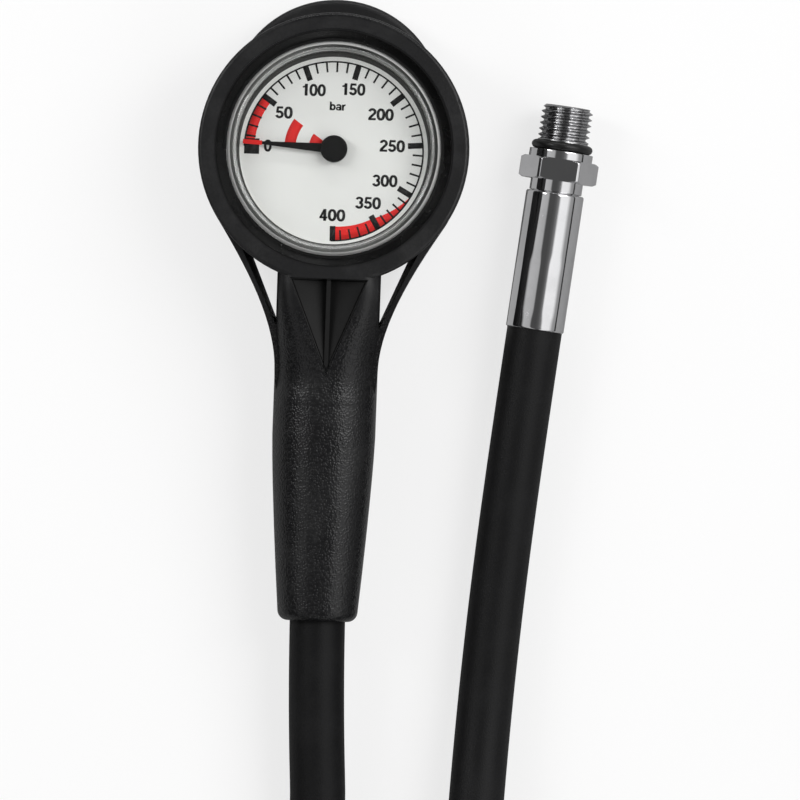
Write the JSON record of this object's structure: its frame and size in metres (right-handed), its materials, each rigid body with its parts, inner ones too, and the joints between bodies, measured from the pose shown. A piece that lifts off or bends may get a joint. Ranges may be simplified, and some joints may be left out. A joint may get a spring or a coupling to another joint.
{
  "type": "submersible pressure gauge",
  "caption": "Round dive pressure gauge in a rubber boot with a handle, swivelling on a coiled high-pressure hose with a chromed threaded fitting.",
  "frame": {"origin": "on the plane the gauge rests on, at the boot's flat back under the middle of the dial", "axes": "+Z out of the dial, +Y from the handle towards the strap lug (zero and full scale are at nine and six o'clock), +X to three o'clock"},
  "size_m": [0.132, 0.3423, 0.0275],
  "materials": {
    "boot_rubber": "matte, fine grain",
    "hose_rubber": "matte, faint fabric texture",
    "seal_rubber": "smooth",
    "case_chrome": "plated brass, satin",
    "lens_clear": "clear, polished",
    "dial_white": "matte white print",
    "ring_steel": "satin",
    "pointer_black": "satin black, red tip",
    "fitting_chrome": "plated brass, bright",
    "screw_steel": "plain",
    "shaft_steel": "ground",
    "tube_bronze": "drawn",
    "movement_brass": "stamped",
    "spring_bronze": "rolled strip",
    "plug_rubber": "smooth"
  },
  "bodies": {
    "hose": {"hose_lead": "hose_rubber", "hose_coil": "hose_rubber", "hose_tail": "hose_rubber", "gauge_ferrule": "fitting_chrome", "hose_stem": "fitting_chrome", "air_spool": "shaft_steel", "spool_oring_gauge": "seal_rubber", "spool_oring_hose": "seal_rubber", "tank_ferrule": "fitting_chrome", "tank_fitting": "fitting_chrome", "thread_oring": "seal_rubber"},
    "gauge_head": {"boot": "boot_rubber", "case": "case_chrome", "lens": "lens_clear", "lens_oring": "seal_rubber", "dial": "dial_white", "dial_ring": "ring_steel", "gauge_stem": "fitting_chrome", "stem_oring": "seal_rubber", "swivel_nut": "fitting_chrome", "bourdon_tube": "tube_bronze", "tube_tip": "tube_bronze", "tip_screw": "screw_steel", "hairspring": "spring_bronze", "spring_stud": "screw_steel", "movement_base": "movement_brass", "movement_top": "movement_brass", "movement_pillars": "movement_brass", "plate_screws": "screw_steel", "movement_screws": "screw_steel", "socket_screws": "screw_steel", "relief_plug": "plug_rubber"},
    "pointer": {"pointer": "pointer_black", "pinion_arbor": "shaft_steel"},
    "sector": {"sector_gear": "movement_brass", "sector_arbor": "shaft_steel"},
    "link": {"link": "movement_brass", "link_pin": "screw_steel"}
  },
  "joints": [
    {"name": "gauge_swivel", "type": "hinge", "parent": "hose", "child": "gauge_head", "pos_m": [0, -0.058, 0.0115], "axis": [0, -1, 0], "continuous": true},
    {"name": "pointer_turn", "type": "hinge", "parent": "gauge_head", "child": "pointer", "pos_m": [0, 0, 0.0138], "axis": [0, 0, 1], "range_deg": [-267, 0], "stiffness_Nm_per_rad": 0.00002, "springref_deg": 5.73, "deforming": ["hairspring", "bourdon_tube"]},
    {"name": "sector_turn", "type": "hinge", "parent": "gauge_head", "child": "sector", "pos_m": [0.0108, -0.00649, 0.0115], "axis": [0, 0, 1], "range_deg": [0, 33.38]},
    {"name": "link_turn", "type": "hinge", "parent": "sector", "child": "link", "pos_m": [0.015, -0.00649, 0.0123], "axis": [0, 0, 1], "range_deg": [-33.38, 0]}
  ],
  "couplings": [
    {"joint": "sector_turn", "follows": "pointer_turn", "ratio": -0.125},
    {"joint": "link_turn", "follows": "pointer_turn", "ratio": 0.125}
  ]
}
